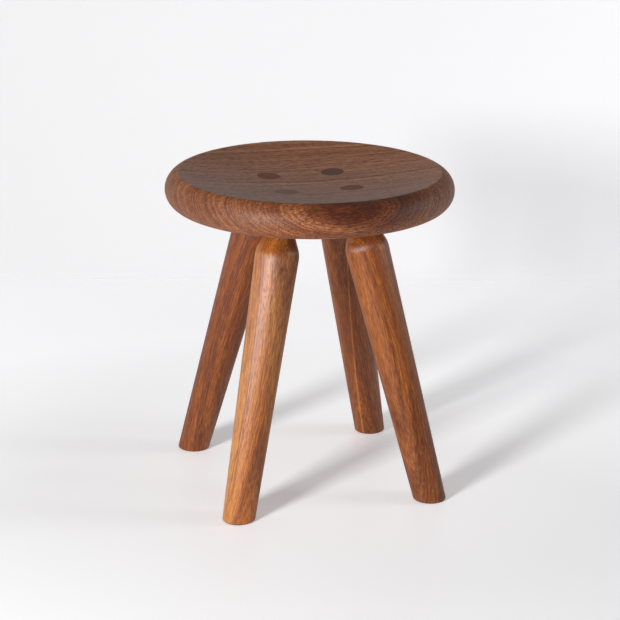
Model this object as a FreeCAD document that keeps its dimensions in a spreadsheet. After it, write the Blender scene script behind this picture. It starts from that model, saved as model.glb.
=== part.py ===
import FreeCAD, Part
import math
import os

import Sketcher

# Low round stool in hardwood: a turned and dished seat on four splayed, turned legs.
# Each leg ends in a round tenon that passes right through the seat and is trimmed flush with the dish.
# Millimetres, +Z up. The origin is on the floor, under the middle of the seat.

# The driving dimensions: alias, value and meaning. Angles are in degrees.
SIZES = (
    ("seat_diameter", 350, "across the widest part of the rim"),
    ("seat_height", 392, "floor to the top edge of the rim"),
    ("seat_thickness", 45, "top edge of the rim to the flat underside"),
    ("rim_width", 16.5, "widest part of the rim in to the edge of the dish"),
    ("rim_drop", 21.5, "edge of the dish down to the widest part of the rim"),
    ("belly_radius", 135, "shallow curve that runs from the rim into the flat underside"),
    ("belly_angle", 12, "turn of that shallow curve"),
    ("dish_depth", 17, "edge of the dish down to its lowest point"),
    ("crease_easing", 3, "rounding of the edge between dish and rim"),
    ("mortise_circle", 133, "circle through the mortise centres at the underside, diameter"),
    ("leg_bearing", 45, "direction of the first leg, from +X towards +Y"),
    ("leg_splay", 16.7, "lean of every leg axis from the vertical"),
    ("tenon_diameter", 28, "round tenon"),
    ("glue_gap", 0.1, "clearance all round the tenon"),
    ("neck_drop", 10, "underside down the leg axis to the corner under the tenon"),
    ("shoulder_drop", 40, "underside down the leg axis to the corner of the shoulder"),
    ("shoulder_diameter", 53, "thickest part of the leg"),
    ("shoulder_radius", 32, "rounding of the shoulder's corner"),
    ("foot_diameter", 38.5, "thin end of the leg, before it is cut level"),
    ("foot_easing", 2, "rounding of the foot's edge"),
)

LEG_NAMES = ("leg_back_right", "leg_back_left", "leg_front_left", "leg_front_right")
FULL_TURN = 360
LEG_STEP = FULL_TURN / len(LEG_NAMES)

# Lengths that several features share, as expressions in the sheet's aliases.
UNDERSIDE = "(sizes.seat_height - sizes.seat_thickness)"
DISH_EDGE = "(sizes.seat_diameter / 2 - sizes.rim_width)"
DISH_FLOOR = "(sizes.seat_height - sizes.dish_depth)"
MORTISE_RADIUS = "(sizes.tenon_diameter / 2 + sizes.glue_gap)"
FOOT_CIRCLE = f"(sizes.mortise_circle / 2 + {UNDERSIDE} * tan(sizes.leg_splay))"

# Along a leg's axis, measured from the middle of the mortise at the underside.
# The leg is turned too long at both ends.
BLANK_TOP = f"(sizes.seat_thickness / cos(sizes.leg_splay) + {MORTISE_RADIUS} * tan(sizes.leg_splay))"
BLANK_BOTTOM = f"(-{UNDERSIDE} / cos(sizes.leg_splay) - sizes.foot_diameter * tan(sizes.leg_splay))"
MORTISE_BOTTOM = "(-sizes.tenon_diameter)"

# The neck: a cone from the shoulder up to the tenon, with both corners rounded.
# The upper rounding ends where the slanting leg meets the lowest point of the mortise's mouth.
CONE_INSET = "((sizes.shoulder_diameter - sizes.tenon_diameter) / 2)"
CONE_LENGTH = "(sizes.shoulder_drop - sizes.neck_drop)"
CONE_ANGLE = f"atan({CONE_INSET} / {CONE_LENGTH})"
CONE_SLANT = f"sqrt({CONE_INSET} ^ 2 + {CONE_LENGTH} ^ 2)"
NECK_TANGENT = f"(sizes.neck_drop - {MORTISE_RADIUS} * tan(sizes.leg_splay))"
NECK_RADIUS = f"({NECK_TANGENT} / tan({CONE_ANGLE} / 2))"
# The lower rounding takes at most this share of what is left of the cone.
SHOULDER_SHARE = 0.8
SHOULDER_LIMIT = f"({SHOULDER_SHARE} * ({CONE_SLANT} - {NECK_TANGENT}) / tan({CONE_ANGLE} / 2))"
SHOULDER_RADIUS = f"min(sizes.shoulder_radius; {SHOULDER_LIMIT})"

# The points of an edge count up from 1 and the axes of a sketch count down from -1.
START, END, CENTRE = range(1, 4)
H_AXIS, V_AXIS = range(-1, -3, -1)
ORIGIN = (H_AXIS, START)

ROUNDING_ERROR = 1e-6


def make_sheet(document):
    """The spreadsheet that holds the driving dimensions."""
    sheet = document.addObject("Spreadsheet::Sheet", "sizes")
    for row, (alias, value, meaning) in enumerate(SIZES, start=1):
        sheet.set(f"A{row}", alias)
        sheet.set(f"B{row}", str(value))
        sheet.set(f"C{row}", meaning)
        sheet.setAlias(f"B{row}", alias)
    document.recompute()
    return sheet


def worth(thing, expression):
    """The number that an expression gives at present."""
    return float(thing.evalExpression(expression))


def origin_feature(body, role):
    """A plane or axis of the body's own origin."""
    return next(feature for feature in body.Origin.OriginFeatures if feature.Role == role)


def make_sketch(body, name, role):
    """An empty sketch on one of the body's origin planes."""
    sketch = body.newObject("Sketcher::SketchObject", name)
    sketch.AttachmentSupport = (origin_feature(body, role), [""])
    sketch.MapMode = "FlatFace"
    return sketch


def lean_with_leg(sketch):
    """Moves an upright sketch so that its vertical axis is a leg's axis, from the mortise's mouth upwards."""
    leaning = FreeCAD.Rotation(FreeCAD.Vector(0, 0, 1), worth(sketch, "sizes.leg_splay"))
    sketch.AttachmentOffset = FreeCAD.Placement(FreeCAD.Vector(), leaning)
    sketch.setExpression("AttachmentOffset.Base.x", "sizes.mortise_circle / 2")
    sketch.setExpression("AttachmentOffset.Base.y", UNDERSIDE)
    sketch.setExpression("AttachmentOffset.Rotation.Angle", "sizes.leg_splay")


def bind(sketch, expression, kind, *where):
    """Adds a constraint whose length follows an expression."""
    number = sketch.addConstraint(Sketcher.Constraint(kind, *where, worth(sketch, expression)))
    sketch.setExpression(f"Constraints[{number}]", expression)


def bind_turn(sketch, expression, arc):
    """Makes the angle that an arc spans follow an expression in degrees."""
    turn = math.radians(worth(sketch, expression))
    number = sketch.addConstraint(Sketcher.Constraint("Angle", arc, turn))
    sketch.setExpression(f"Constraints[{number}]", f"{expression} * 1 deg")


def pin(sketch, edge, end, across, up):
    """Holds a point of an edge at two coordinates; None puts it on that axis."""
    if across is None:
        sketch.addConstraint(Sketcher.Constraint("PointOnObject", edge, end, V_AXIS))
    else:
        bind(sketch, across, "DistanceX", *ORIGIN, edge, end)
    if up is None:
        sketch.addConstraint(Sketcher.Constraint("PointOnObject", edge, end, H_AXIS))
    else:
        bind(sketch, up, "DistanceY", *ORIGIN, edge, end)


def join(sketch, first, first_end, second, second_end):
    """Makes two edges share a point."""
    sketch.addConstraint(Sketcher.Constraint("Coincident", first, first_end, second, second_end))


def spot(sketch, across, up):
    """The place that two expressions give; None is zero."""
    return FreeCAD.Vector(
        worth(sketch, across) if across else 0,
        worth(sketch, up) if up else 0,
        0,
    )


def draw_line(sketch, first, last):
    """A straight edge."""
    return sketch.addGeometry(Part.LineSegment(first, last))


def draw_outline(sketch, corners):
    """A closed outline of straight edges through corners.

    Each corner is given by expressions: how far across, how far up and its rounding, None if it is sharp.
    """
    places = [spot(sketch, across, up) for across, up, rounding in corners]
    followers = places[1:] + places[:1]
    edges = [draw_line(sketch, *pair) for pair in zip(places, followers)]
    for edge, before in zip(edges, edges[-1:] + edges[:-1]):
        join(sketch, before, END, edge, START)
    points = []
    for edge, (across, up, rounding) in zip(edges, corners):
        if rounding:
            # A rounding leaves its arc and then the sharp corner as the last two things in the sketch.
            sketch.fillet(edge, START, worth(sketch, rounding), True, True)
            points.append(sketch.GeometryCount - 1)
        else:
            points.append(edge)
    for point, (across, up, rounding) in zip(points, corners):
        pin(sketch, point, START, across, up)
    for point, (across, up, rounding) in zip(points, corners):
        if rounding:
            bind(sketch, rounding, "Radius", point - 1)


def draw_arc(sketch, centre, first, last):
    """An arc about a centre, counter-clockwise from its first point to its last."""
    circle = Part.Circle(centre, FreeCAD.Vector(0, 0, 1), centre.distanceToPoint(first))
    return sketch.addGeometry(Part.ArcOfCircle(circle, circle.parameter(first), circle.parameter(last)))


def draw_dish(sketch):
    """The dish's arc, from its lowest point out to its edge."""
    lowest = spot(sketch, None, DISH_FLOOR)
    edge = spot(sketch, DISH_EDGE, "sizes.seat_height")
    rise = edge.y - lowest.y
    radius = (edge.x**2 + rise**2) / (2 * rise)
    return draw_arc(sketch, lowest + FreeCAD.Vector(0, radius, 0), lowest, edge)


def hold_dish(sketch, dish):
    """Holds the dish's arc to the stool's axis and to its lowest point."""
    sketch.addConstraint(Sketcher.Constraint("PointOnObject", dish, CENTRE, V_AXIS))
    pin(sketch, dish, START, None, DISH_FLOOR)


def draw_seat_profile(sketch):
    """Half of the seat's section: dish, rim in two arcs that meet at its widest, belly and flat underside."""
    floor_middle = spot(sketch, None, DISH_FLOOR)
    crease = spot(sketch, DISH_EDGE, "sizes.seat_height")
    widest = spot(sketch, "sizes.seat_diameter / 2", "sizes.seat_height - sizes.rim_drop")
    upper_radius = worth(sketch, "(sizes.rim_width ^ 2 + sizes.rim_drop ^ 2) / (2 * sizes.rim_width)")
    belly_fall = worth(sketch, "sizes.belly_radius * (1 - cos(sizes.belly_angle))")
    belly_reach = worth(sketch, "sizes.belly_radius * sin(sizes.belly_angle)")
    side_fall = worth(sketch, "sizes.seat_thickness - sizes.rim_drop") - belly_fall
    lower_radius = side_fall / worth(sketch, "cos(sizes.belly_angle)")
    lower_inset = lower_radius * worth(sketch, "1 - sin(sizes.belly_angle)")
    turn = widest - FreeCAD.Vector(lower_inset, side_fall, 0)
    belly_end = turn - FreeCAD.Vector(belly_reach, belly_fall, 0)
    belly_centre = belly_end + FreeCAD.Vector(0, worth(sketch, "sizes.belly_radius"), 0)
    under_middle = FreeCAD.Vector(0, belly_end.y, 0)

    dish = draw_dish(sketch)
    upper = draw_arc(sketch, widest - FreeCAD.Vector(upper_radius, 0, 0), widest, crease)
    lower = draw_arc(sketch, widest - FreeCAD.Vector(lower_radius, 0, 0), turn, widest)
    belly = draw_arc(sketch, belly_centre, belly_end, turn)
    underside = draw_line(sketch, belly_end, under_middle)
    middle = draw_line(sketch, under_middle, floor_middle)

    # The edge between dish and rim is eased; its sharp corner stays as a point on both arcs.
    sketch.fillet(dish, upper, floor_middle, widest, worth(sketch, "sizes.crease_easing"), True)
    easing = sketch.GeometryCount - 1
    corner = sketch.addGeometry(Part.Point(crease), True)
    for arc in (dish, upper):
        sketch.addConstraint(Sketcher.Constraint("PointOnObject", corner, START, arc))

    join(sketch, upper, START, lower, END)
    join(sketch, belly, START, underside, START)
    join(sketch, underside, END, middle, START)
    join(sketch, middle, END, dish, START)
    sketch.addConstraint(Sketcher.Constraint("Tangent", lower, START, belly, END))
    sketch.addConstraint(Sketcher.Constraint("Horizontal", upper, CENTRE, upper, START))
    sketch.addConstraint(Sketcher.Constraint("Horizontal", lower, CENTRE, lower, END))
    sketch.addConstraint(Sketcher.Constraint("Vertical", belly, CENTRE, belly, START))
    hold_dish(sketch, dish)
    pin(sketch, corner, START, DISH_EDGE, "sizes.seat_height")
    bind(sketch, "sizes.crease_easing", "Radius", easing)
    pin(sketch, upper, START, "sizes.seat_diameter / 2", "sizes.seat_height - sizes.rim_drop")
    pin(sketch, underside, END, None, UNDERSIDE)
    sketch.addConstraint(Sketcher.Constraint("Horizontal", underside))
    bind(sketch, "sizes.belly_radius", "Radius", belly)
    bind_turn(sketch, "sizes.belly_angle", belly)


def round_edges(body, name, feature, edges, radius):
    """A fillet on edges given by name, with its radius bound to an expression."""
    if not edges:
        raise RuntimeError(f"{name}: no edge to round")
    fillet = body.newObject("PartDesign::Fillet", name)
    fillet.Base = (feature, edges)
    fillet.setExpression("Radius", radius)
    body.Document.recompute()
    return fillet


def check_cut(before, after):
    """Stops if a cut took nothing away."""
    if not after.Shape.Volume < before.Shape.Volume - ROUNDING_ERROR:
        raise RuntimeError(f"{after.Name} cuts nothing")


def turn_bearing(body, expression):
    """Turns a body about the stool's vertical axis."""
    turned = FreeCAD.Rotation(FreeCAD.Vector(0, 0, 1), worth(body, expression))
    body.Placement = FreeCAD.Placement(FreeCAD.Vector(), turned)
    body.setExpression("Placement.Rotation.Angle", expression)


def revolve(body, kind, name, sketch):
    """Turns a sketch a full turn about its own vertical axis, to add or to cut."""
    feature = body.newObject(f"PartDesign::{kind}", name)
    feature.Profile = sketch
    feature.ReferenceAxis = (sketch, ["V_Axis"])
    feature.Angle = FULL_TURN
    body.Document.recompute()
    return feature


def make_seat(document):
    """The seat: one turned disc with a dished top and four leaning mortises."""
    body = document.addObject("PartDesign::Body", "seat")
    profile = make_sketch(body, "seat_profile", "XZ_Plane")
    draw_seat_profile(profile)
    disc = revolve(body, "Revolution", "turned_disc", profile)

    bore = make_sketch(body, "mortise_section", "XZ_Plane")
    lean_with_leg(bore)
    draw_outline(bore, (
        (None, MORTISE_BOTTOM, None),
        (MORTISE_RADIUS, MORTISE_BOTTOM, None),
        (MORTISE_RADIUS, BLANK_TOP, None),
        (None, BLANK_TOP, None),
    ))
    mortise = revolve(body, "Groove", "mortise", bore)
    check_cut(disc, mortise)

    mortises = body.newObject("PartDesign::PolarPattern", "mortises")
    mortises.Originals = [mortise]
    mortises.Axis = (origin_feature(body, "Z_Axis"), [""])
    mortises.Angle = FULL_TURN
    mortises.Occurrences = len(LEG_NAMES)
    body.Tip = mortises
    document.recompute()
    check_cut(mortise, mortises)
    turn_bearing(body, "sizes.leg_bearing")
    return body


def turn_leg(body):
    """The leg as it leaves the lathe: too long at both ends, with both corners of its neck rounded."""
    profile = make_sketch(body, f"{body.Name}_profile", "XZ_Plane")
    lean_with_leg(profile)
    draw_outline(profile, (
        (None, BLANK_BOTTOM, None),
        ("sizes.foot_diameter / 2", BLANK_BOTTOM, None),
        ("sizes.shoulder_diameter / 2", "-sizes.shoulder_drop", SHOULDER_RADIUS),
        ("sizes.tenon_diameter / 2", "-sizes.neck_drop", NECK_RADIUS),
        ("sizes.tenon_diameter / 2", BLANK_TOP, None),
        (None, BLANK_TOP, None),
    ))
    return revolve(body, "Revolution", f"{body.Name}_blank", profile)


def trim_tenon(body, turned):
    """Cuts the tenon's end to the curve of the dish."""
    # The curve is drawn a quarter turn away from the leg, so that its seam misses the tenon.
    above = make_sketch(body, f"{body.Name}_above_dish", "YZ_Plane")
    dish = draw_dish(above)
    hold_dish(above, dish)
    pin(above, dish, END, DISH_EDGE, "sizes.seat_height")
    corners = (
        (DISH_EDGE, "sizes.seat_height"),
        (DISH_EDGE, f"sizes.seat_height + {BLANK_TOP}"),
        (None, f"sizes.seat_height + {BLANK_TOP}"),
        (None, DISH_FLOOR),
    )
    places = [spot(above, *corner) for corner in corners]
    sides = [draw_line(above, *pair) for pair in zip(places, places[1:])]
    join(above, dish, END, sides[0], START)
    join(above, sides[-1], END, dish, START)
    for side, following, corner in zip(sides, sides[1:], corners[1:]):
        join(above, side, END, following, START)
        pin(above, side, END, *corner)
    flush = revolve(body, "Groove", f"{body.Name}_flush_end", above)
    check_cut(turned, flush)
    return flush


def level_foot(body, trimmed):
    """Cuts the foot level with the floor and eases its edge."""
    below = make_sketch(body, f"{body.Name}_below_floor", "XY_Plane")
    around = below.addGeometry(Part.Circle(
        spot(below, FOOT_CIRCLE, None), FreeCAD.Vector(0, 0, 1), worth(below, "sizes.foot_diameter")))
    pin(below, around, CENTRE, FOOT_CIRCLE, None)
    bind(below, "sizes.foot_diameter", "Radius", around)
    level = body.newObject("PartDesign::Pocket", f"{body.Name}_level_foot")
    level.Profile = below
    level.Type = "ThroughAll"
    body.Document.recompute()
    check_cut(trimmed, level)
    sole = [
        f"Edge{number}"
        for number, edge in enumerate(level.Shape.Edges, start=1)
        if abs(edge.BoundBox.ZMax) < ROUNDING_ERROR
    ]
    return round_edges(body, f"{body.Name}_eased_foot", level, sole, "sizes.foot_easing")


def make_leg(document, name, number):
    """One leg: turned about its leaning axis, trimmed flush with the dish and cut level at the floor."""
    body = document.addObject("PartDesign::Body", name)
    turned = turn_leg(body)
    trimmed = trim_tenon(body, turned)
    level_foot(body, trimmed)
    turn_bearing(body, f"sizes.leg_bearing + {LEG_STEP * number}")
    return body


def check(document, bodies):
    """Stops on a failed feature or a bad solid, so that nothing wrong is written."""
    document.recompute()
    for thing in document.Objects:
        if "Invalid" in thing.State or "Error" in thing.State:
            raise RuntimeError(f"{thing.Name} failed: {thing.State}")
    for body in bodies:
        shape = body.Shape
        if shape.isNull() or not shape.isValid() or len(shape.Solids) != 1:
            raise RuntimeError(f"{body.Label} is not one sound solid")


def main():
    document = FreeCAD.newDocument("stool")
    make_sheet(document)
    bodies = [make_seat(document)]
    for number, name in enumerate(LEG_NAMES):
        bodies.append(make_leg(document, name, number))
    check(document, bodies)
    os.makedirs("parts", exist_ok=True)
    for body in bodies:
        body.Shape.exportStep(f"parts/{body.Label}.step")
        print(body.Label, "volume", round(body.Shape.Volume))


main()
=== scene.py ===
import math
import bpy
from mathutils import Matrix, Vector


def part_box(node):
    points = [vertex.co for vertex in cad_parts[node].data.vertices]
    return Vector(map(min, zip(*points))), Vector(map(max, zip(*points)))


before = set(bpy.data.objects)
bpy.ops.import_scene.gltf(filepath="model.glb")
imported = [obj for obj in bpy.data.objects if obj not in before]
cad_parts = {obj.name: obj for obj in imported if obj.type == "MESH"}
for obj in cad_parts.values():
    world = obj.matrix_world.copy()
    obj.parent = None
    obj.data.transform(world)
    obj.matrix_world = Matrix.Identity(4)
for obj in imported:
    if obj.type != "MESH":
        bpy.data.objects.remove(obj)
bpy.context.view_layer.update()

from types import SimpleNamespace
from typing import NamedTuple

import bpy
from bpy.props import FloatProperty, FloatVectorProperty, PointerProperty
from mathutils import Euler, Matrix, Vector

# A low round hardwood stool: the finish of its turned seat and legs, and the studio that it stands in.
# Metres, +Z up; the feet stand at zero, and the origin is under the middle of the seat.

bl_info = {
    "name": "Turned Hardwood Stool",
    "version": (1, 0, 0),
    "blender": (4, 5, 0),
    "location": "View3D > Sidebar > Stool",
    "description": "Oiled hardwood for a turned stool, and a pale studio to see it in",
    "category": "Object",
}

SEAT = "seat"
LEGS = ("leg_front_left", "leg_front_right", "leg_back_left", "leg_back_right")
SEAT_LOW, SEAT_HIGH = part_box(SEAT)

# Pieces whose seeds are this far apart don't share their pattern.
SEED_STEP = 17.3

# The middle of a noise, and of the tones from dark to light.
MIDDLE = 0.5

# Octaves of a noise, and how strong its finer octaves are.
PLAIN, DETAILED = 1.0, 2.0
SOFT, EVEN, FIRM, HARSH = 0.4, 0.5, 0.55, 0.6

# Levels of the noise between which wood turns golden.
GOLDEN = (0.38, 0.6)

# How squarely a surface cuts the fibres where end grain starts to show, and where it shows in full.
END_GRAIN = (0.3, 0.95)

# How squarely a surface faces up where it starts to be worn, and where it is worn in full.
WORN = (0.9, 0.97)

# The share of a leg's height, at each end, from which its axis is found.
LEG_END = 0.25

# Corners of the round floor.
FLOOR_CORNERS = 96

# How far above the ends of the feet the bounce light starts, and how far under them the floor lies.
FLOOR_GAP = 0.001
FLOOR_DROP = 0.0002

# Where each part of the room's light starts and where it is full, as the cosine of the angle to its middle.
SWEEP_BEHIND = (-0.2, 0.6)
SWEEP_LIT = (0.2, 0.9)
OVERHEAD_RISE = (0.35, 0.8)

# The sine of the height angle at which the sweep has faded out.
SWEEP_END = 0.68

WHITE = (1.0, 1.0, 1.0)

# Rows of a matrix that turns a direction.
TURN_ROWS = 3

# Sockets that share one name, by their place.
FIRST, SECOND, THIRD = 0, 1, 2
MIX_FACTOR, MIX_FIRST, MIX_SECOND = 0, 6, 7
MIX_RESULT = 2


# Small helpers for building node trees

def feed(tree, socket, value):
    """Links an output to a socket, or sets the socket to a plain value."""
    if isinstance(value, bpy.types.NodeSocket):
        tree.links.new(value, socket)
    else:
        socket.default_value = value


def add_node(tree, kind, settings=None, **inputs):
    """A new node with its settings and inputs; an underscore in an input's name stands for a space."""
    node = tree.nodes.new(kind)
    for name, value in (settings or {}).items():
        setattr(node, name, value)
    for name, value in inputs.items():
        feed(tree, node.inputs[name.replace("_", " ")], value)
    return node


def calc(tree, operation, *terms):
    """The result of a sum on plain numbers."""
    node = add_node(tree, "ShaderNodeMath", {"operation": operation})
    for socket, term in zip(node.inputs, terms):
        feed(tree, socket, term)
    return node.outputs["Value"]


def total(tree, first, *others):
    """Several values added up."""
    for term in others:
        first = calc(tree, "ADD", first, term)
    return first


def product(tree, first, *others):
    """Several values multiplied."""
    for term in others:
        first = calc(tree, "MULTIPLY", first, term)
    return first


def span(tree, value, low, high):
    """How far a value has come from low to high, from 0 to 1, with soft ends."""
    node = add_node(
        tree, "ShaderNodeMapRange", {"interpolation_type": "SMOOTHSTEP"},
        Value=value, From_Min=low, From_Max=high)
    return node.outputs["Result"]


def fade(tree, value, low, high):
    """How far a value still has to go from low to high, from 1 to 0, with soft ends."""
    return calc(tree, "SUBTRACT", 1.0, span(tree, value, low, high))


def blend(tree, factor, first, second, kind="MIX"):
    """Two colours mixed."""
    node = add_node(tree, "ShaderNodeMix", {"data_type": "RGBA", "blend_type": kind})
    feed(tree, node.inputs[MIX_FACTOR], factor)
    feed(tree, node.inputs[MIX_FIRST], first)
    feed(tree, node.inputs[MIX_SECOND], second)
    return node.outputs[MIX_RESULT]


def opaque(colour):
    """A colour with its alpha."""
    return (*colour, 1.0)


def ramp(tree, factor, stops):
    """A colour ramp through (place, colour) stops."""
    node = add_node(tree, "ShaderNodeValToRGB", Fac=factor)
    elements = node.color_ramp.elements
    while len(elements) < len(stops):
        elements.new(1.0)
    for element, (place, colour) in zip(elements, stops):
        element.position = place
        element.color = opaque(colour)
    return node.outputs["Color"]


def vector_calc(tree, operation, *terms):
    """The node for a sum on vectors."""
    node = add_node(tree, "ShaderNodeVectorMath", {"operation": operation})
    for socket, term in zip(node.inputs, terms):
        feed(tree, socket, term)
    return node


def along(tree, place, direction):
    """How far a place lies in a direction."""
    return vector_calc(tree, "DOT_PRODUCT", place, direction).outputs["Value"]


def upright(tree, place):
    """The height of a place, or how squarely a direction points up."""
    return add_node(tree, "ShaderNodeSeparateXYZ", Vector=place).outputs["Z"]


def new_material(name):
    """A material whose node tree is still empty."""
    material = bpy.data.materials.new(name)
    material.use_nodes = True
    material.node_tree.nodes.clear()
    return material


def add_shaders(tree, first, second):
    """Two shaders added up."""
    node = add_node(tree, "ShaderNodeAddShader")
    feed(tree, node.inputs[FIRST], first)
    feed(tree, node.inputs[SECOND], second)
    return node.outputs["Shader"]


def mix_shaders(tree, factor, first, second):
    """A shader that turns from the first into the second."""
    node = add_node(tree, "ShaderNodeMixShader", Fac=factor)
    feed(tree, node.inputs[SECOND], first)
    feed(tree, node.inputs[THIRD], second)
    return node.outputs["Shader"]


def see_through(tree):
    """A shader that shows what is behind."""
    return add_node(tree, "ShaderNodeBsdfTransparent").outputs["BSDF"]


def show(tree, shader):
    """Makes a shader the surface of its material."""
    output = add_node(tree, "ShaderNodeOutputMaterial")
    feed(tree, output.inputs["Surface"], shader)


# The wood

class Cut(NamedTuple):
    """How a piece lies in its log."""

    # Along the fibres, and across the growth layers.
    grain: Vector
    layers: Vector
    # Where the fibres bow to, and the place from which they do.
    sideways: Vector
    start: Vector


class Stock(NamedTuple):
    """What sets the wood of one piece apart."""

    # How much lighter it gets along each axis, per metre; on the front right leg the rise towards the top
    # is painted light.
    lean: Vector
    # Where its pattern starts in the noise.
    seed: float = 0.0
    # How light it is, how golden, and how light its end grain is.
    shade: float = 0.0
    warmth: float = 0.0
    end_tone: float = 1.0
    # Strength of one thin pale line along its fibres, and whether it holds some of the dark heart.
    line: float = 0.0
    heart: bool = False


def turn_to_grain(cut):
    """The turn after which X runs along the fibres and Y crosses the growth layers."""
    return Matrix((cut.grain, cut.layers, cut.grain.cross(cut.layers)))


def grain_space(tree, cut, bow_radius):
    """Object coordinates turned so that X runs along the fibres and Y crosses the growth layers.

    The fibres are bowed: away from the start they bend sideways.
    """
    place = add_node(tree, "ShaderNodeTexCoord").outputs["Object"]
    away = vector_calc(tree, "SUBTRACT", place, cut.start).outputs["Vector"]
    reach = along(tree, away, cut.grain)
    bend = calc(tree, "DIVIDE", product(tree, reach, reach), -2 * bow_radius)
    push = add_node(tree, "ShaderNodeVectorMath", {"operation": "SCALE"}, Vector=cut.sideways, Scale=bend)
    straight = vector_calc(tree, "ADD", away, push.outputs["Vector"]).outputs["Vector"]
    turned = turn_to_grain(cut).to_euler()
    return add_node(tree, "ShaderNodeMapping", Vector=straight, Rotation=turned).outputs["Vector"]


def patches(tree, place, seed, length, width, detail=DETAILED, roughness=EVEN):
    """Noise in patches of about that length along the fibres and width across them."""
    node = add_node(
        tree, "ShaderNodeMapping",
        Vector=place, Location=(seed, seed, seed), Scale=(1 / length, 1 / width, 1 / width))
    cloud = add_node(
        tree, "ShaderNodeTexNoise",
        Vector=node.outputs["Vector"], Scale=1.0, Detail=detail, Roughness=roughness)
    return cloud.outputs["Fac"]


def bands(tree, across, seed, width, detail):
    """Light and dark bands of uneven width."""
    node = add_node(
        tree, "ShaderNodeTexNoise", {"noise_dimensions": "1D"},
        W=total(tree, calc(tree, "DIVIDE", across, width), seed),
        Scale=1.0, Detail=detail, Roughness=FIRM)
    return node.outputs["Fac"]


def centred(tree, noise, reach):
    """Noise turned into a push of about that reach to both sides."""
    return product(tree, calc(tree, "SUBTRACT", noise, MIDDLE), 2 * reach)


def wander(tree, place, seed, finish):
    """Grain coordinates whose growth layers drift slowly from side to side."""
    drift = patches(tree, place, seed, finish.drift_length, finish.drift_width)
    ripple = patches(tree, place, seed, finish.streak_length, finish.streak_width)
    push = total(tree, centred(tree, drift, finish.drift), centred(tree, ripple, finish.ripple))
    offset = add_node(tree, "ShaderNodeCombineXYZ", Y=push).outputs["Vector"]
    return vector_calc(tree, "ADD", place, offset).outputs["Vector"]


def end_grain(tree, grain):
    """How squarely a surface cuts the fibres, from 0 to 1."""
    facing = add_node(tree, "ShaderNodeNewGeometry").outputs["True Normal"]
    return span(tree, calc(tree, "ABSOLUTE", along(tree, facing, grain)), *END_GRAIN)


def wood_pattern(tree, finish, cut, seed):
    """What the pattern of a piece is made of."""
    place = grain_space(tree, cut, finish.bow_radius)
    drifted = wander(tree, place, seed, finish)
    steps = add_node(tree, "ShaderNodeSeparateXYZ", Vector=drifted).outputs
    ring = bands(tree, steps["Y"], seed, finish.ring_width, PLAIN)
    fleck = patches(tree, drifted, seed, finish.fleck_length, finish.fleck_width, PLAIN, SOFT)
    gathered = total(tree, fleck, centred(tree, ring, -finish.fleck_gathering))
    pore = span(tree, gathered, finish.fleck_start, finish.fleck_start + finish.fleck_edge)
    return SimpleNamespace(
        place=place,
        lengthwise=steps["X"],
        across=steps["Y"],
        layer=bands(tree, steps["Y"], seed, finish.layer_width, DETAILED),
        ring=ring,
        cloud=patches(tree, place, seed, finish.drift_length, finish.drift_width, PLAIN),
        streak=patches(tree, drifted, seed, finish.streak_length, finish.streak_width, DETAILED, FIRM),
        fibre=patches(tree, drifted, seed, finish.fibre_length, finish.fibre_width, DETAILED, HARSH),
        pore=product(tree, pore, finish.fleck_contrast),
        end=end_grain(tree, cut.grain))


def pale_line(tree, finish, turned, place):
    """One thin line along the fibres, from 0 to 1."""
    rightward = turned @ Vector((1.0, 0.0, 0.0))
    rightward.x = 0.0
    rightward.normalize()
    rightward.x = -finish.line_slope
    off = calc(tree, "SUBTRACT", along(tree, place, rightward), finish.line_place)
    return fade(tree, calc(tree, "ABSOLUTE", off), 0.0, finish.line_width)


def wood_tone(tree, finish, cut, stock, pattern):
    """How light the wood is, from 0 to 1."""
    turned = turn_to_grain(cut)
    # The lean of the stock adds painted light towards the top of the front right leg.
    tone = total(
        tree, MIDDLE + stock.shade,
        centred(tree, pattern.layer, finish.layer_contrast),
        centred(tree, pattern.ring, finish.ring_contrast),
        centred(tree, pattern.streak, finish.streak_contrast),
        centred(tree, pattern.fibre, finish.fibre_contrast),
        along(tree, pattern.place, turned @ stock.lean))
    if stock.line:
        line = pale_line(tree, finish, turned, pattern.place)
        tone = total(tree, tone, product(tree, line, stock.line))
    return tone


def heart_depth(tree, finish, pattern):
    """How deep the wood lies towards the dark heart, from the middle of the piece."""
    return total(
        tree, pattern.across,
        product(tree, pattern.lengthwise, finish.heart_lean),
        centred(tree, pattern.streak, finish.heart_raggedness))


def heart_tone(tree, finish, depth):
    """How much darker the heart is, and how much paler the wood away from it."""
    inside = span(tree, depth, finish.heart_start, finish.heart_start + finish.heart_fade)
    away = calc(tree, "DIVIDE", calc(tree, "SUBTRACT", finish.heart_start, depth), finish.heart_start)
    return total(tree, product(tree, inside, -finish.heart_darkening), product(tree, away, finish.paling))


def heart_flecks(tree, finish, depth):
    """How much stronger the flecks get towards the heart."""
    near = span(tree, depth, finish.heart_start - finish.heart_reach, finish.heart_start)
    return calc(tree, "MULTIPLY_ADD", near, finish.heart_flecking, 1.0)


def wood_colour(tree, finish, stock, pattern, tone):
    """The colour of the wood, with its open pores and its end grain."""
    plain = ramp(tree, tone, ((0.0, finish.dark), (MIDDLE, finish.middle), (1.0, finish.light)))
    golden = ramp(tree, tone, ((0.0, finish.dark), (MIDDLE, finish.golden), (1.0, finish.pale)))
    warm = product(tree, span(tree, pattern.cloud, *GOLDEN), stock.warmth)
    colour = blend(tree, warm, plain, golden)
    colour = blend(tree, pattern.pore, colour, opaque(finish.pore))
    end = opaque(stock.end_tone * Vector(finish.end))
    return blend(tree, product(tree, pattern.end, finish.end_darkening), colour, end)


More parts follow.
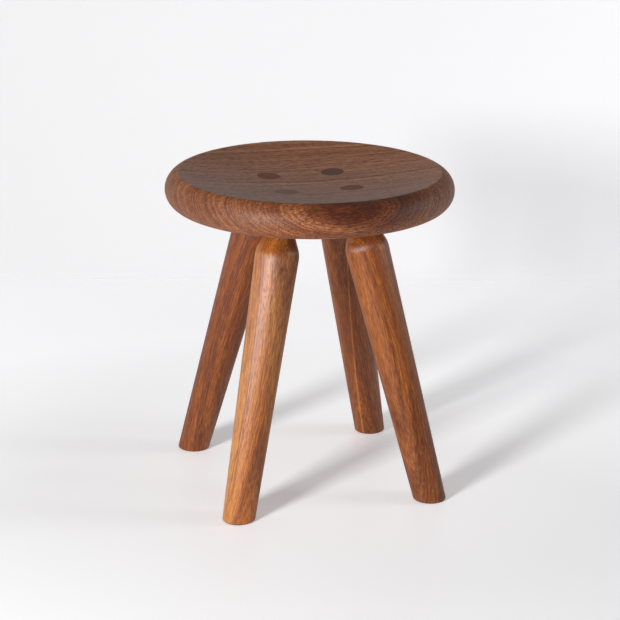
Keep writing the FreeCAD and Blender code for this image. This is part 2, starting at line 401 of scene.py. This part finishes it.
def oiled_surface(tree, finish, grain, pattern, colour):
    """A satin surface whose shine spreads across the fibres."""
    facing = add_node(tree, "ShaderNodeNewGeometry").outputs["Normal"]
    rough = total(
        tree, finish.roughness,
        product(tree, span(tree, upright(tree, facing), *WORN), -finish.wear),
        product(tree, pattern.pore, finish.pore_roughness),
        product(tree, pattern.end, finish.end_roughness),
        centred(tree, pattern.fibre, finish.fibre_roughness))
    height = total(
        tree,
        centred(tree, pattern.fibre, finish.fibre_relief),
        product(tree, pattern.pore, -finish.fleck_depth))
    relief = add_node(tree, "ShaderNodeBump", Strength=1.0, Distance=1.0, Height=height)
    shader = add_node(
        tree, "ShaderNodeBsdfPrincipled",
        Base_Color=colour, Roughness=rough, Normal=relief.outputs["Normal"],
        Specular_IOR_Level=finish.gloss, Anisotropic=finish.stretch,
        Tangent=vector_calc(tree, "CROSS_PRODUCT", facing, grain).outputs["Vector"])
    return shader.outputs["BSDF"]


def make_wood(name, finish, cut, stock):
    """Oiled hardwood as a solid pattern, so that every cut through it shows the right grain."""
    material = new_material(name)
    tree = material.node_tree
    pattern = wood_pattern(tree, finish, cut, stock.seed)
    tone = wood_tone(tree, finish, cut, stock, pattern)
    if stock.heart:
        depth = heart_depth(tree, finish, pattern)
        tone = total(tree, tone, heart_tone(tree, finish, depth))
        pattern.pore = product(tree, pattern.pore, heart_flecks(tree, finish, depth))
    colour = wood_colour(tree, finish, stock, pattern, tone)
    show(tree, oiled_surface(tree, finish, cut.grain, pattern, colour))
    return material


def dress(node, material):
    """Gives every slot of a piece the same material."""
    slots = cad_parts[node].data.materials
    slots.clear()
    slots.append(material)


def leg_axis(node):
    """The direction of a leg, from its foot to its tenon."""
    points = [corner.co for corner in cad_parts[node].data.vertices]
    low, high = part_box(node)
    reach = LEG_END * (high.z - low.z)
    foot = [point for point in points if point.z < low.z + reach]
    tenon = [point for point in points if point.z > high.z - reach]
    below, above = [sum(group, Vector()) / len(group) for group in (foot, tenon)]
    return (above - below).normalized()


# What a user can change

class WoodFinish:
    """The look of one kind of oiled hardwood."""

    dark: FloatVectorProperty(
        name="Dark", description="Darkest layers", subtype="COLOR", default=(0.054, 0.009, 0.002))
    middle: FloatVectorProperty(
        name="Middle", description="Most of the wood", subtype="COLOR", default=(0.165, 0.043, 0.008))
    light: FloatVectorProperty(
        name="Light", description="Lightest layers", subtype="COLOR", default=(0.4, 0.162, 0.068))
    golden: FloatVectorProperty(
        name="Golden", description="Most of the golden wood", subtype="COLOR",
        default=(0.277, 0.1, 0.022))
    pale: FloatVectorProperty(
        name="Pale", description="Lightest layers of the golden wood", subtype="COLOR",
        default=(0.477, 0.22, 0.06))
    pore: FloatVectorProperty(
        name="Pore", description="Open pores", subtype="COLOR", default=(0.035, 0.007, 0.002))
    end: FloatVectorProperty(
        name="End grain", description="Where the fibres are cut across", subtype="COLOR",
        default=(0.04, 0.014, 0.008))
    end_darkening: FloatProperty(
        name="End darkening", description="How much darker end grain is", subtype="FACTOR",
        min=0, max=1, default=0.45)
    end_roughness: FloatProperty(
        name="End roughness", description="How much rougher end grain is", subtype="FACTOR",
        min=0, max=1, default=0.05)
    layer_width: FloatProperty(
        name="Layer width", description="Usual width of a growth layer", unit="LENGTH", default=0.009)
    layer_contrast: FloatProperty(
        name="Layer contrast", description="Strength of the growth layers", default=0.35)
    ring_width: FloatProperty(
        name="Ring width", description="Usual width of a fine ring", unit="LENGTH", default=0.0022)
    ring_contrast: FloatProperty(
        name="Ring contrast", description="Strength of the fine rings", default=0.3)
    bow_radius: FloatProperty(
        name="Bow radius", description="Radius to which the fibres are bowed", unit="LENGTH", default=1.5)
    drift: FloatProperty(
        name="Drift", description="How far the layers wander", unit="LENGTH", default=0.006)
    drift_length: FloatProperty(
        name="Drift length", description="Length over which they wander", unit="LENGTH", default=0.4)
    drift_width: FloatProperty(
        name="Drift width", description="Width over which they wander", unit="LENGTH", default=0.06)
    ripple: FloatProperty(
        name="Ripple", description="Small unevenness of the layers", unit="LENGTH", default=0.0012)
    streak_length: FloatProperty(
        name="Streak length", description="Length of a colour streak", unit="LENGTH", default=0.12)
    streak_width: FloatProperty(
        name="Streak width", description="Width of a colour streak", unit="LENGTH", default=0.007)
    streak_contrast: FloatProperty(
        name="Streak contrast", description="Strength of the colour streaks", default=0.3)
    fibre_length: FloatProperty(
        name="Fibre length", description="Length of a bundle of fibres", unit="LENGTH", default=0.009)
    fibre_width: FloatProperty(
        name="Fibre width", description="Width of a bundle of fibres", unit="LENGTH", default=0.0009)
    fibre_contrast: FloatProperty(
        name="Fibre contrast", description="Strength of the fibres", default=0.75)
    fibre_relief: FloatProperty(
        name="Fibre relief", description="Unevenness of the fibres", unit="LENGTH", default=0.00002)
    fleck_length: FloatProperty(
        name="Fleck length", description="Length of a dark fleck of open pores", unit="LENGTH",
        default=0.009)
    fleck_width: FloatProperty(
        name="Fleck width", description="Width of a dark fleck of open pores", unit="LENGTH",
        default=0.0014)
    fleck_start: FloatProperty(
        name="Fleck start", description="Level of the noise above which there is a fleck", subtype="FACTOR",
        min=0, max=1, default=0.54)
    fleck_edge: FloatProperty(
        name="Fleck edge", description="Softness of a fleck's edge", subtype="FACTOR",
        min=0, max=1, default=0.07)
    fleck_depth: FloatProperty(
        name="Fleck depth", description="Depth of the open pores", unit="LENGTH", default=0.0001)
    fleck_contrast: FloatProperty(
        name="Fleck contrast", description="How much darker the flecks are", subtype="FACTOR",
        min=0, max=1, default=0.45)
    fleck_gathering: FloatProperty(
        name="Fleck gathering", description="How much the flecks keep to the dark rings", default=0.1)
    roughness: FloatProperty(
        name="Roughness", description="Of the oiled surface", subtype="FACTOR",
        min=0, max=1, default=0.55)
    wear: FloatProperty(
        name="Wear", description="How much smoother the surfaces that face up are", subtype="FACTOR",
        min=0, max=1, default=0.17)
    stretch: FloatProperty(
        name="Stretch", description="How much the shine spreads across the fibres", subtype="FACTOR",
        min=0, max=1, default=0.35)
    pore_roughness: FloatProperty(
        name="Pore roughness", description="How much rougher open pores are", subtype="FACTOR",
        min=0, max=1, default=0.2)
    fibre_roughness: FloatProperty(
        name="Fibre roughness", description="Unevenness of the roughness among the fibres",
        subtype="FACTOR", min=0, max=1, default=0.1)
    gloss: FloatProperty(
        name="Gloss", description="Strength of the oil's shine", subtype="FACTOR",
        min=0, max=1, default=0.38)


class SeatWood(WoodFinish, bpy.types.PropertyGroup):
    """The seat's wood, cut so that its growth layers stand at a slant."""

    layer_slant: FloatProperty(
        name="Layer slant", description="Angle between the layers and the upright", subtype="ANGLE",
        default=math.radians(44))
    layer_bearing: FloatProperty(
        name="Layer bearing", description="Direction that the layers face, from the front", subtype="ANGLE",
        default=math.radians(-2.5))
    bow_radius: FloatProperty(
        name="Bow radius", description="Radius to which the fibres are bowed", unit="LENGTH", default=0.3)
    heart_start: FloatProperty(
        name="Heart start", description="From the middle of the seat across the layers to its dark heart",
        unit="LENGTH", default=0.12)
    heart_darkening: FloatProperty(
        name="Heart darkening", description="How much darker the heart is", default=0.33)
    side_lean: FloatProperty(
        name="Side lean", description="How much lighter the seat gets to its right, per metre", default=0.5)
    paling: FloatProperty(
        name="Paling", description="How much paler the wood gets from the heart to the middle",
        default=0.13)
    heart_fade: FloatProperty(
        name="Heart fade", description="Depth over which the heart darkens", unit="LENGTH", default=0.012)
    heart_lean: FloatProperty(
        name="Heart lean", description="How much nearer the heart comes along the grain", default=0.3)
    heart_raggedness: FloatProperty(
        name="Heart raggedness", description="Unevenness of the heart's edge", unit="LENGTH", default=0.006)
    heart_flecking: FloatProperty(
        name="Heart flecking", description="How much stronger the flecks round the heart are", default=0.5)
    heart_reach: FloatProperty(
        name="Heart reach", description="How far round the heart its flecks are stronger", unit="LENGTH",
        default=0.02)


class LegWood(WoodFinish, bpy.types.PropertyGroup):
    """The legs' wood, a little warmer than the seat's."""

    shades: FloatVectorProperty(
        name="Shades", description="How light the stock of each leg is, in the order of the legs",
        size=len(LEGS), default=(0.09, -0.11, -0.28, -0.08))
    warmths: FloatVectorProperty(
        name="Warmths", description="How golden the stock of each leg is, in the order of the legs",
        size=len(LEGS), default=(0.75, 0.12, 0.0, 0.1))
    layer_turns: FloatVectorProperty(
        name="Layer turns", description="Angle by which the layers of each leg are turned about its axis",
        size=len(LEGS), default=[math.radians(turn) for turn in (70, 170, 270, 370)])
    end_tones: FloatVectorProperty(
        name="End tones", description="How light the end grain of each leg is, in the order of the legs",
        size=len(LEGS), default=(1.2, 1.35, 1.5, 0.67))
    leans: FloatVectorProperty(
        name="Leans", description="How much lighter each leg gets to its right, per metre",
        size=len(LEGS), default=(-4.5, 0.0, 0.0, 0.0))
    # On the front right leg the rise is painted light: its top is painted lighter, as if lit under the
    # seat. On the other legs the code only makes each leg lighter or darker towards its top.
    rises_and_painted_top_light: FloatVectorProperty(
        name="Rises", description="How much lighter each leg gets to its top, per metre",
        size=len(LEGS), default=(0.0, 0.8, -0.25, 0.2))
    pale_lines: FloatVectorProperty(
        name="Pale lines", description="Strength of a thin pale line along each leg",
        size=len(LEGS), default=(0.0, 0.0, 0.0, 0.7))
    line_width: FloatProperty(
        name="Line width", description="Width of a thin pale line", unit="LENGTH", default=0.0016)
    line_place: FloatProperty(
        name="Line place", description="From the axis of the leg to its pale line", unit="LENGTH",
        default=-0.011)
    line_slope: FloatProperty(
        name="Line slope", description="How far a pale line moves to the right along its leg, per metre",
        default=0.06)
    middle: FloatVectorProperty(
        name="Middle", description="Most of the wood", subtype="COLOR", default=(0.21, 0.055, 0.009))
    end: FloatVectorProperty(
        name="End grain", description="Where the fibres are cut across", subtype="COLOR",
        default=(0.1, 0.027, 0.0098))
    end_darkening: FloatProperty(
        name="End darkening", description="How much darker end grain is", subtype="FACTOR",
        min=0, max=1, default=0.92)
    end_roughness: FloatProperty(
        name="End roughness", description="How much rougher end grain is", subtype="FACTOR",
        min=0, max=1, default=0.15)
    dark: FloatVectorProperty(
        name="Dark", description="Darkest layers", subtype="COLOR", default=(0.085, 0.018, 0.003))
    light: FloatVectorProperty(
        name="Light", description="Lightest layers", subtype="COLOR", default=(0.4, 0.125, 0.02))
    fibre_length: FloatProperty(
        name="Fibre length", description="Length of a bundle of fibres", unit="LENGTH", default=0.02)
    fleck_length: FloatProperty(
        name="Fleck length", description="Length of a dark fleck of open pores", unit="LENGTH",
        default=0.006)
    fleck_width: FloatProperty(
        name="Fleck width", description="Width of a dark fleck of open pores", unit="LENGTH",
        default=0.0009)
    streak_contrast: FloatProperty(
        name="Streak contrast", description="Strength of the colour streaks", default=0.25)
    fleck_contrast: FloatProperty(
        name="Fleck contrast", description="How much darker the flecks are", subtype="FACTOR",
        min=0, max=1, default=0.32)
    ring_contrast: FloatProperty(
        name="Ring contrast", description="Strength of the fine rings", default=0.2)
    roughness: FloatProperty(
        name="Roughness", description="Of the oiled surface", subtype="FACTOR",
        min=0, max=1, default=0.385)
    wear: FloatProperty(
        name="Wear", description="How much smoother the surfaces that face up are", subtype="FACTOR",
        min=0, max=1, default=0.05)
    stretch: FloatProperty(
        name="Stretch", description="How much the shine spreads across the fibres", subtype="FACTOR",
        min=0, max=1, default=0.87)
    fibre_contrast: FloatProperty(
        name="Fibre contrast", description="Strength of the fibres", default=0.95)


class Studio(bpy.types.PropertyGroup):
    """The floor, the light and the view."""

    floor_radius: FloatProperty(
        name="Floor radius", description="Half the width of the floor", unit="LENGTH", default=14.0)
    floor_colour: FloatVectorProperty(
        name="Floor colour", description="Colour of the floor", subtype="COLOR", default=(0.88, 0.88, 0.89))
    floor_roughness: FloatProperty(
        name="Floor roughness", description="How matt the floor is", subtype="FACTOR",
        min=0, max=1, default=0.45)
    near_glow: FloatProperty(
        name="Near glow", description="Light of its own that the floor shows in front", default=0.155)
    middle_glow: FloatProperty(
        name="Middle glow", description="Light of its own that the floor shows behind the stool",
        default=0.372)
    far_glow: FloatProperty(
        name="Far glow", description="Light of its own that the floor shows far away", default=0.452)
    glow_colour: FloatVectorProperty(
        name="Glow colour", description="Tint of that light", subtype="COLOR", default=(0.98, 0.975, 1.0))
    glow_centre: FloatProperty(
        name="Glow centre", description="How far in front of the stool the glow is weakest", unit="LENGTH",
        default=0.4)
    glow_start: FloatProperty(
        name="Glow start", description="From the centre to where the near glow ends", unit="LENGTH",
        default=0.5)
    glow_middle: FloatProperty(
        name="Glow middle", description="From the centre to where the middle glow starts", unit="LENGTH",
        default=0.95)
    glow_fade: FloatProperty(
        name="Glow fade", description="From the centre to where the middle glow ends", unit="LENGTH",
        default=1.0)
    glow_end: FloatProperty(
        name="Glow end", description="From the centre to where the far glow is reached", unit="LENGTH",
        default=1.5)
    lift: FloatProperty(
        name="Lift", description="How much more the floor glows among the stool's shadows", default=0.08)
    lift_place: FloatVectorProperty(
        name="Lift place", description="Where that is", subtype="XYZ", unit="LENGTH",
        default=(0.12, 0.07, 0.0))
    lift_start: FloatProperty(
        name="Lift start", description="From there to where the lift starts to fade", unit="LENGTH",
        default=0.15)
    lift_end: FloatProperty(
        name="Lift end", description="From there to where the lift is gone", unit="LENGTH", default=0.45)
    glow_stop: FloatProperty(
        name="Glow stop", description="How far in front of the stool the glow starts to go out",
        unit="LENGTH", default=0.55)
    glow_out: FloatProperty(
        name="Glow out", description="How far in front of the stool the glow is out", unit="LENGTH",
        default=1.1)
    backdrop_place: FloatProperty(
        name="Backdrop place", description="How far behind the stool's axis the backdrop stands",
        unit="LENGTH", default=0.58)
    backdrop_width: FloatProperty(
        name="Backdrop width", description="Width of the backdrop", unit="LENGTH", default=1.6)
    backdrop_fade: FloatProperty(
        name="Backdrop fade", description="Width over which it fades out at its sides and top",
        unit="LENGTH", default=0.3)
    backdrop_height: FloatProperty(
        name="Backdrop height", description="Height of the backdrop", unit="LENGTH", default=1.0)
    backdrop_start: FloatProperty(
        name="Backdrop start", description="Height at which the backdrop starts to show", unit="LENGTH",
        default=0.03)
    backdrop_full: FloatProperty(
        name="Backdrop full", description="Height from which the backdrop shows in full", unit="LENGTH",
        default=0.12)
    backdrop_colour: FloatVectorProperty(
        name="Backdrop colour", description="Colour of the backdrop", subtype="COLOR",
        default=(0.3, 0.3, 0.3))
    backdrop_glow: FloatProperty(
        name="Backdrop glow", description="Light of its own that the backdrop shows", default=0.532)
    backdrop_lean: FloatProperty(
        name="Backdrop lean", description="How much more light it shows to the right, per metre",
        default=0.2)
    fill: FloatProperty(
        name="Fill", description="Strength of the light from all round", default=0.04)
    overhead: FloatProperty(
        name="Overhead", description="Strength of the light from above", default=0.25)
    sweep: FloatProperty(
        name="Sweep", description="Strength of the pale sweep behind the stool", default=0.65)
    sweep_rise: FloatProperty(
        name="Sweep rise", description="How much brighter the sweep is on the side of the main light",
        default=0.8)
    sweep_top: FloatProperty(
        name="Sweep top", description="Height angle from which the sweep fades out", subtype="ANGLE",
        default=math.radians(8))
    key_power: FloatProperty(
        name="Key power", description="Power of the main soft light", unit="POWER", default=117.0)
    key_width: FloatProperty(
        name="Key width", description="Width of the main soft light", unit="LENGTH", default=0.55)
    key_height: FloatProperty(
        name="Key height", description="Height of the main soft light", unit="LENGTH", default=0.7)
    key_distance: FloatProperty(
        name="Key distance", description="From the stool to the main light", unit="LENGTH", default=3.0)
    key_azimuth: FloatProperty(
        name="Key azimuth", description="Bearing of the main light from the front", subtype="ANGLE",
        default=math.radians(-53))
    key_elevation: FloatProperty(
        name="Key elevation", description="Height angle of the main light", subtype="ANGLE",
        default=math.radians(15))
    fill_power: FloatProperty(
        name="Fill power", description="Power of the weak light from the other side", unit="POWER",
        default=26.0)
    fill_width: FloatProperty(
        name="Fill width", description="Width of the weak light", unit="LENGTH", default=1.0)
    fill_azimuth: FloatProperty(
        name="Fill azimuth", description="Bearing of the weak light from the front", subtype="ANGLE",
        default=math.radians(74))
    fill_elevation: FloatProperty(
        name="Fill elevation", description="Height angle of the weak light", subtype="ANGLE",
        default=math.radians(15))
    bounce_power: FloatProperty(
        name="Bounce power", description="Power of the light that comes up from the pale floor",
        unit="POWER", default=5.4)
    bounce_width: FloatProperty(
        name="Bounce width", description="Width of the floor that it comes from", unit="LENGTH",
        default=2.4)
    view_azimuth: FloatProperty(
        name="View azimuth", description="Bearing of the camera from the front", subtype="ANGLE",
        default=math.radians(-16.19))
    view_turn: FloatProperty(
        name="View turn", description="How far the camera looks to the left of the stool's axis",
        subtype="ANGLE", default=math.radians(-0.032))
    view_pitch: FloatProperty(
        name="View pitch", description="How far the camera looks down", subtype="ANGLE",
        default=math.radians(17.88))
    view_roll: FloatProperty(
        name="View roll", description="Turn of the camera about its own line of sight", subtype="ANGLE",
        default=math.radians(0.39))
    view_distance: FloatProperty(
        name="View distance", description="Level distance from the stool's axis to the camera",
        unit="LENGTH", default=2.3037)
    view_height: FloatProperty(
        name="View height", description="Height of the camera", unit="LENGTH", default=0.9578)
    lens: FloatProperty(
        name="Lens", description="Focal length in millimetres", subtype="UNSIGNED", default=114.04)


# The studio

def bearing(azimuth, elevation=0.0, distance=1.0):
    """A place seen from the origin; zero azimuth is in front, towards -Y."""
    level = distance * math.cos(elevation)
    return Vector((math.sin(azimuth) * level, -math.cos(azimuth) * level, distance * math.sin(elevation)))


def link(thing):
    """Puts a new object into the scene."""
    bpy.context.scene.collection.objects.link(thing)
    return thing


def make_sheet(name, corners, material):
    """A flat piece of the stage."""
    mesh = bpy.data.meshes.new(name)
    mesh.from_pydata(corners, [], [range(len(corners))])
    mesh.materials.append(material)
    return link(bpy.data.objects.new(name, mesh))


def floor_glow(tree, studio, path):
    """The light of its own that the floor shows to the camera and in reflections."""
    place = add_node(tree, "ShaderNodeTexCoord").outputs["Object"]
    centre = bearing(studio.view_azimuth, distance=studio.glow_centre)
    away = vector_calc(tree, "DISTANCE", place, centre).outputs["Value"]
    levels = (
        (studio.glow_start, studio.near_glow),
        (studio.glow_middle, studio.middle_glow),
        (studio.glow_fade, studio.middle_glow),
        (studio.glow_end, studio.far_glow),
    )
    tint = Vector(studio.glow_colour)
    level = ramp(
        tree, calc(tree, "DIVIDE", away, studio.glow_end),
        [(distance / studio.glow_end, glow * tint) for distance, glow in levels])
    aside = vector_calc(tree, "DISTANCE", place, studio.lift_place).outputs["Value"]
    lifted = fade(tree, aside, studio.lift_start, studio.lift_end)
    level = blend(tree, lifted, level, opaque(studio.lift * tint), "ADD")
    forward = along(tree, place, bearing(studio.view_azimuth))
    kept = fade(tree, forward, studio.glow_stop, studio.glow_out)
    seen = calc(tree, "MAXIMUM", path["Is Camera Ray"], path["Is Glossy Ray"])
    seen = calc(tree, "MAXIMUM", seen, path["Is Transmission Ray"])
    glow = add_node(tree, "ShaderNodeEmission", Color=level, Strength=product(tree, seen, kept))
    return glow.outputs["Emission"]


def make_floor(studio):
    """A round pale floor that keeps the stool's shadow; from below, the camera looks through it."""
    material = new_material("pale_floor")
    tree = material.node_tree
    path = add_node(tree, "ShaderNodeLightPath").outputs
    matt = add_node(
        tree, "ShaderNodeBsdfPrincipled",
        Base_Color=opaque(studio.floor_colour), Roughness=studio.floor_roughness)
    lit = add_shaders(tree, matt.outputs["BSDF"], floor_glow(tree, studio, path))
    back = add_node(tree, "ShaderNodeNewGeometry").outputs["Backfacing"]
    below = product(tree, back, path["Is Camera Ray"])
    show(tree, mix_shaders(tree, below, lit, see_through(tree)))

    reach = studio.floor_radius
    turns = [math.tau * corner / FLOOR_CORNERS for corner in range(FLOOR_CORNERS)]
    rim = [(reach * math.cos(turn), reach * math.sin(turn), -FLOOR_DROP) for turn in turns]
    floor = make_sheet("floor", rim, material)


def make_backdrop(studio):
    """An upright pale backdrop close behind the stool that keeps the shadow of the seat.

    Only the camera sees it, and only its front; it fades out towards the floor, its sides and its top.
    """
    rightward = bearing(studio.view_azimuth + math.pi / 2)
    material = new_material("pale_backdrop")
    tree = material.node_tree
    place = add_node(tree, "ShaderNodeTexCoord").outputs["Object"]
    side = along(tree, place, rightward)
    height = upright(tree, place)
    inward = calc(tree, "SUBTRACT", studio.backdrop_width / 2, calc(tree, "ABSOLUTE", side))
    headroom = calc(tree, "SUBTRACT", studio.backdrop_height, height)
    back = add_node(tree, "ShaderNodeNewGeometry").outputs["Backfacing"]
    shown = product(
        tree,
        calc(tree, "SUBTRACT", 1.0, back),
        span(tree, height, studio.backdrop_start, studio.backdrop_full),
        span(tree, inward, 0.0, studio.backdrop_fade),
        span(tree, headroom, 0.0, studio.backdrop_fade))
    level = calc(tree, "MULTIPLY_ADD", side, studio.backdrop_lean, studio.backdrop_glow)
    seen = add_node(tree, "ShaderNodeLightPath").outputs["Is Camera Ray"]
    glow = add_node(
        tree, "ShaderNodeEmission",
        Color=opaque(studio.glow_colour), Strength=product(tree, level, seen))
    matt = add_node(tree, "ShaderNodeBsdfDiffuse", Color=opaque(studio.backdrop_colour))
    lit = add_shaders(tree, matt.outputs["BSDF"], glow.outputs["Emission"])
    show(tree, mix_shaders(tree, shown, see_through(tree), lit))

    half = rightward * studio.backdrop_width / 2
    foot = -bearing(studio.view_azimuth, distance=studio.backdrop_place)
    rise = Vector((0.0, 0.0, studio.backdrop_height))
    corners = (foot - half, foot + half, foot + half + rise, foot - half + rise)
    backdrop = make_sheet("backdrop", corners, material)
    backdrop.visible_diffuse = False
    backdrop.visible_glossy = False
    backdrop.visible_transmission = False
    backdrop.visible_shadow = False


def make_world(studio):
    """A dim room with a pale sweep behind the stool; the camera sees white."""
    world = bpy.data.worlds.new("studio")
    world.use_nodes = True
    tree = world.node_tree
    tree.nodes.clear()
    heading = add_node(tree, "ShaderNodeTexCoord").outputs["Generated"]
    height = upright(tree, heading)
    behind = along(tree, heading, -bearing(studio.view_azimuth))
    leftward = along(tree, heading, bearing(studio.view_azimuth - math.pi / 2))
    lit = span(tree, leftward, *SWEEP_LIT)
    sweep = product(
        tree,
        span(tree, behind, *SWEEP_BEHIND),
        fade(tree, height, math.sin(studio.sweep_top), SWEEP_END),
        studio.sweep,
        calc(tree, "MULTIPLY_ADD", lit, studio.sweep_rise, 1.0))
    above = product(tree, span(tree, height, *OVERHEAD_RISE), studio.overhead)
    light = total(tree, sweep, above, studio.fill)
    path = add_node(tree, "ShaderNodeLightPath").outputs
    seen = calc(tree, "MAXIMUM", path["Is Camera Ray"], path["Is Transmission Ray"])
    strength = calc(tree, "MAXIMUM", light, seen)
    background = add_node(tree, "ShaderNodeBackground", Color=opaque(WHITE), Strength=strength)
    output = add_node(tree, "ShaderNodeOutputWorld")
    feed(tree, output.inputs["Surface"], background.outputs["Background"])
    bpy.context.scene.world = world


def make_lamp(name, place, aim, width, height, power):
    """A rectangular soft light at a place, turned towards a point."""
    data = bpy.data.lights.new(name, "AREA")
    data.shape = "RECTANGLE"
    data.size = width
    data.size_y = height
    data.energy = power
    lamp = link(bpy.data.objects.new(name, data))
    lamp.location = place
    lamp.rotation_euler = (aim - place).to_track_quat("-Z", "Y").to_euler()
    return lamp


def make_camera(studio):
    """The photograph's view."""
    data = bpy.data.cameras.new("view")
    data.lens = studio.lens
    camera = link(bpy.data.objects.new("view", data))
    level = bearing(studio.view_azimuth, distance=studio.view_distance)
    camera.location = level + Vector((0.0, 0.0, studio.view_height))
    heading = studio.view_azimuth + studio.view_turn
    turn = Euler((math.pi / 2 - studio.view_pitch, 0.0, heading)).to_matrix()
    roll = Matrix.Rotation(studio.view_roll, TURN_ROWS, "Z")
    camera.rotation_euler = (turn @ roll).to_euler()
    bpy.context.scene.camera = camera


# Operators

class STOOL_OT_finish_seat(bpy.types.Operator):
    """Give the seat its oiled hardwood"""

    bl_idname = "stool.finish_seat"
    bl_label = "Finish Seat"

    def execute(self, context):
        finish = context.scene.stool_seat
        cut = Cut(
            grain=Vector((math.cos(finish.layer_bearing), math.sin(finish.layer_bearing), 0.0)),
            layers=bearing(finish.layer_bearing, finish.layer_slant),
            sideways=bearing(finish.layer_bearing),
            start=(SEAT_LOW + SEAT_HIGH) / 2)
        stock = Stock(lean=Vector((finish.side_lean, 0.0, 0.0)), heart=True)
        dress(SEAT, make_wood("oiled_seat_wood", finish, cut, stock))
        return {"FINISHED"}


class STOOL_OT_finish_legs(bpy.types.Operator):
    """Give every leg its oiled hardwood, each from its own piece of stock"""

    bl_idname = "stool.finish_legs"
    bl_label = "Finish Legs"

    def execute(self, context):
        finish = context.scene.stool_legs
        for number, leg in enumerate(LEGS):
            grain = leg_axis(leg)
            turn = Matrix.Rotation(finish.layer_turns[number], TURN_ROWS, grain)
            layers = turn @ grain.orthogonal().normalized()
            low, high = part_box(leg)
            cut = Cut(grain, layers, sideways=layers, start=(low + high) / 2)
            # On the front right leg the rise towards the top is painted light.
            stock = Stock(
                lean=Vector((finish.leans[number], 0.0, finish.rises_and_painted_top_light[number])),
                seed=SEED_STEP * (number + 1),
                shade=finish.shades[number],
                warmth=finish.warmths[number],
                end_tone=finish.end_tones[number],
                line=finish.pale_lines[number])
            dress(leg, make_wood(f"oiled_{leg}_wood", finish, cut, stock))
        return {"FINISHED"}


class STOOL_OT_set_stage(bpy.types.Operator):
    """Set up the floor, the light and the camera"""

    bl_idname = "stool.set_stage"
    bl_label = "Set Stage"

    def execute(self, context):
        studio = context.scene.stool_studio
        make_camera(studio)
        make_floor(studio)
        make_backdrop(studio)
        make_world(studio)
        aim = Vector((0.0, 0.0, SEAT_LOW.z / 2))
        key = aim + bearing(studio.key_azimuth, studio.key_elevation, studio.key_distance)
        make_lamp("key_softbox", key, aim, studio.key_width, studio.key_height, studio.key_power)
        fill = aim + bearing(studio.fill_azimuth, studio.fill_elevation, studio.key_distance)
        make_lamp("fill_softbox", fill, aim, studio.fill_width, studio.fill_width, studio.fill_power)
        ground = Vector((0.0, 0.0, FLOOR_GAP))
        bounce = make_lamp(
            "floor_bounce", ground, aim, studio.bounce_width, studio.bounce_width, studio.bounce_power)
        # The bounce only softens the shadows, and shows neither in the picture nor in the shine.
        bounce.visible_camera = False
        bounce.visible_glossy = False
        context.scene.view_settings.view_transform = "Standard"
        return {"FINISHED"}


class VIEW3D_PT_stool(bpy.types.Panel):
    """Lists the steps that finish the stool"""

    bl_label = "Stool"
    bl_space_type = "VIEW_3D"
    bl_region_type = "UI"
    bl_category = "Stool"

    def draw(self, context):
        for step in STEPS:
            self.layout.operator(step.bl_idname)


STEPS = (STOOL_OT_set_stage, STOOL_OT_finish_seat, STOOL_OT_finish_legs)
GROUPS = {"stool_seat": SeatWood, "stool_legs": LegWood, "stool_studio": Studio}


def register():
    for group in GROUPS.values():
        bpy.utils.register_class(group)
    for name, group in GROUPS.items():
        setattr(bpy.types.Scene, name, PointerProperty(type=group))
    for kind in (*STEPS, VIEW3D_PT_stool):
        bpy.utils.register_class(kind)


def unregister():
    for kind in (VIEW3D_PT_stool, *reversed(STEPS)):
        bpy.utils.unregister_class(kind)
    for name, group in reversed(GROUPS.items()):
        delattr(bpy.types.Scene, name)
        bpy.utils.unregister_class(group)


def main():
    register()
    bpy.ops.stool.set_stage()
    bpy.ops.stool.finish_seat()
    bpy.ops.stool.finish_legs()


if __name__ == "__main__":
    main()
